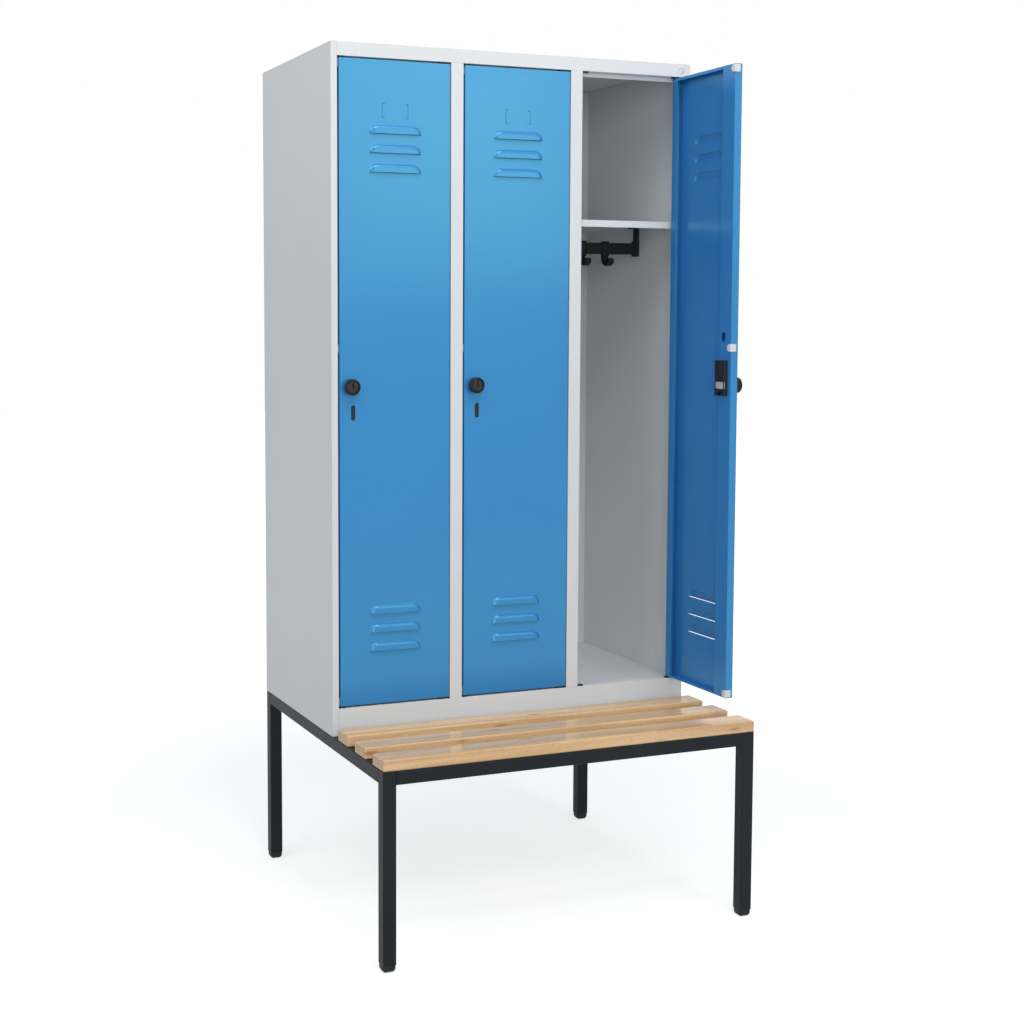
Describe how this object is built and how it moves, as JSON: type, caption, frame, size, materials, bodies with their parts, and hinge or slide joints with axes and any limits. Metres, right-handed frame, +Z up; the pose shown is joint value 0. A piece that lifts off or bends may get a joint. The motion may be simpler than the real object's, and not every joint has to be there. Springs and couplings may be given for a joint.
{
  "type": "clothes locker with bench",
  "caption": "Steel clothes locker with hinged louvred doors, hat shelves and coat rails, on a square tube frame that carries a slatted wooden bench in front.",
  "frame": {"origin": "on the floor, in the middle of the footprint of frame and bench", "axes": "+X to the right along the front, -Y out of the doors over the bench, +Z up"},
  "size_m": [0.9005, 0.812, 1.9575],
  "materials": {
    "frame_paint": "satin",
    "slat_wood": "lacquered",
    "carcass_paint": "satin",
    "door_paint": "satin",
    "rail_plastic": "matte",
    "black_plastic": "matte",
    "knob_plastic": "gloss",
    "buffer_plastic": "gloss",
    "latch_chrome": "polished",
    "bolt_steel": "zinc",
    "badge_metal": "satin"
  },
  "bodies": {
    "carcass": {"leg_front_left": "frame_paint", "leg_front_right": "frame_paint", "leg_rear_left": "frame_paint", "leg_rear_right": "frame_paint", "side_rail_left": "frame_paint", "side_rail_right": "frame_paint", "front_rail": "frame_paint", "middle_rail": "frame_paint", "rear_rail": "frame_paint", "slat_front": "slat_wood", "slat_middle": "slat_wood", "slat_rear": "slat_wood", "side_panel_left": "carcass_paint", "side_panel_right": "carcass_paint", "partition_left": "carcass_paint", "partition_right": "carcass_paint", "roof": "carcass_paint", "floor": "carcass_paint", "back_panel": "carcass_paint", "hat_shelf_left": "carcass_paint", "hat_shelf_middle": "carcass_paint", "hat_shelf_right": "carcass_paint", "coat_rail_left": "rail_plastic", "coat_rail_middle": "rail_plastic", "coat_rail_right": "rail_plastic", "rail_brackets": "rail_plastic", "feet": "black_plastic", "hinge_bushes": "black_plastic", "corner_pads": "black_plastic", "slat_bolts": "bolt_steel", "badge_plate": "badge_metal"},
    "left_door": {"door_left": "door_paint", "pivot_pins_left": "bolt_steel", "lock_case_left": "black_plastic", "buffers_left": "buffer_plastic"},
    "left_knob": {"knob_left": "knob_plastic"},
    "left_latch": {"latch_left": "latch_chrome"},
    "left_hook_1": {"hook_left_1": "rail_plastic"},
    "left_hook_2": {"hook_left_2": "rail_plastic"},
    "left_hook_3": {"hook_left_3": "rail_plastic"},
    "middle_door": {"door_middle": "door_paint", "pivot_pins_middle": "bolt_steel", "lock_case_middle": "black_plastic", "buffers_middle": "buffer_plastic"},
    "middle_knob": {"knob_middle": "knob_plastic"},
    "middle_latch": {"latch_middle": "latch_chrome"},
    "middle_hook_1": {"hook_middle_1": "rail_plastic"},
    "middle_hook_2": {"hook_middle_2": "rail_plastic"},
    "middle_hook_3": {"hook_middle_3": "rail_plastic"},
    "right_door": {"door_right": "door_paint", "pivot_pins_right": "bolt_steel", "lock_case_right": "black_plastic", "buffers_right": "buffer_plastic"},
    "right_knob": {"knob_right": "knob_plastic"},
    "right_latch": {"latch_right": "latch_chrome"},
    "right_hook_1": {"hook_right_1": "rail_plastic"},
    "right_hook_2": {"hook_right_2": "rail_plastic"},
    "right_hook_3": {"hook_right_3": "rail_plastic"}
  },
  "joints": [
    {"name": "left_door_hinge", "type": "hinge", "parent": "carcass", "child": "left_door", "pos_m": [-0.175, -0.0885, 0.49], "axis": [0, 0, 1], "range_deg": [0, 100]},
    {"name": "left_knob_turn", "type": "hinge", "parent": "left_door", "child": "left_knob", "pos_m": [-0.406, -0.094, 1.2085], "axis": [0, -1, 0], "range_deg": [0, 90]},
    {"name": "left_latch_slide", "type": "slide", "parent": "left_door", "child": "left_latch", "axis": [-1, 0, 0], "range_m": [0, 0.014]},
    {"name": "left_hook_1_slide", "type": "slide", "parent": "carcass", "child": "left_hook_1", "axis": [1, 0, 0], "range_m": [-0.02, 0.02]},
    {"name": "left_hook_2_slide", "type": "slide", "parent": "carcass", "child": "left_hook_2", "axis": [1, 0, 0], "range_m": [-0.02, 0.02]},
    {"name": "left_hook_3_slide", "type": "slide", "parent": "carcass", "child": "left_hook_3", "axis": [1, 0, 0], "range_m": [-0.02, 0.02]},
    {"name": "middle_door_hinge", "type": "hinge", "parent": "carcass", "child": "middle_door", "pos_m": [0.125, -0.0885, 0.49], "axis": [0, 0, 1], "range_deg": [0, 100]},
    {"name": "middle_knob_turn", "type": "hinge", "parent": "middle_door", "child": "middle_knob", "pos_m": [-0.106, -0.094, 1.2085], "axis": [0, -1, 0], "range_deg": [0, 90]},
    {"name": "middle_latch_slide", "type": "slide", "parent": "middle_door", "child": "middle_latch", "axis": [-1, 0, 0], "range_m": [0, 0.014]},
    {"name": "middle_hook_1_slide", "type": "slide", "parent": "carcass", "child": "middle_hook_1", "axis": [1, 0, 0], "range_m": [-0.02, 0.02]},
    {"name": "middle_hook_2_slide", "type": "slide", "parent": "carcass", "child": "middle_hook_2", "axis": [1, 0, 0], "range_m": [-0.02, 0.02]},
    {"name": "middle_hook_3_slide", "type": "slide", "parent": "carcass", "child": "middle_hook_3", "axis": [1, 0, 0], "range_m": [-0.02, 0.02]},
    {"name": "right_door_hinge", "type": "hinge", "parent": "carcass", "child": "right_door", "pos_m": [0.425, -0.0885, 0.49], "axis": [0, 0, 1], "range_deg": [-90, 10]},
    {"name": "right_knob_turn", "type": "hinge", "parent": "right_door", "child": "right_knob", "pos_m": [0.4305, -0.3195, 1.2085], "axis": [1, 0, 0], "range_deg": [0, 90]},
    {"name": "right_latch_slide", "type": "slide", "parent": "right_door", "child": "right_latch", "axis": [0, -1, 0], "range_m": [0, 0.014]},
    {"name": "right_hook_1_slide", "type": "slide", "parent": "carcass", "child": "right_hook_1", "axis": [1, 0, 0], "range_m": [-0.02, 0.02]},
    {"name": "right_hook_2_slide", "type": "slide", "parent": "carcass", "child": "right_hook_2", "axis": [1, 0, 0], "range_m": [-0.02, 0.02]},
    {"name": "right_hook_3_slide", "type": "slide", "parent": "carcass", "child": "right_hook_3", "axis": [1, 0, 0], "range_m": [-0.02, 0.02]}
  ],
  "couplings": [
    {"joint": "left_latch_slide", "follows": "left_knob_turn", "m_per_rad": 0.0089127},
    {"joint": "middle_latch_slide", "follows": "middle_knob_turn", "m_per_rad": 0.0089127},
    {"joint": "right_latch_slide", "follows": "right_knob_turn", "m_per_rad": 0.0089127}
  ]
}
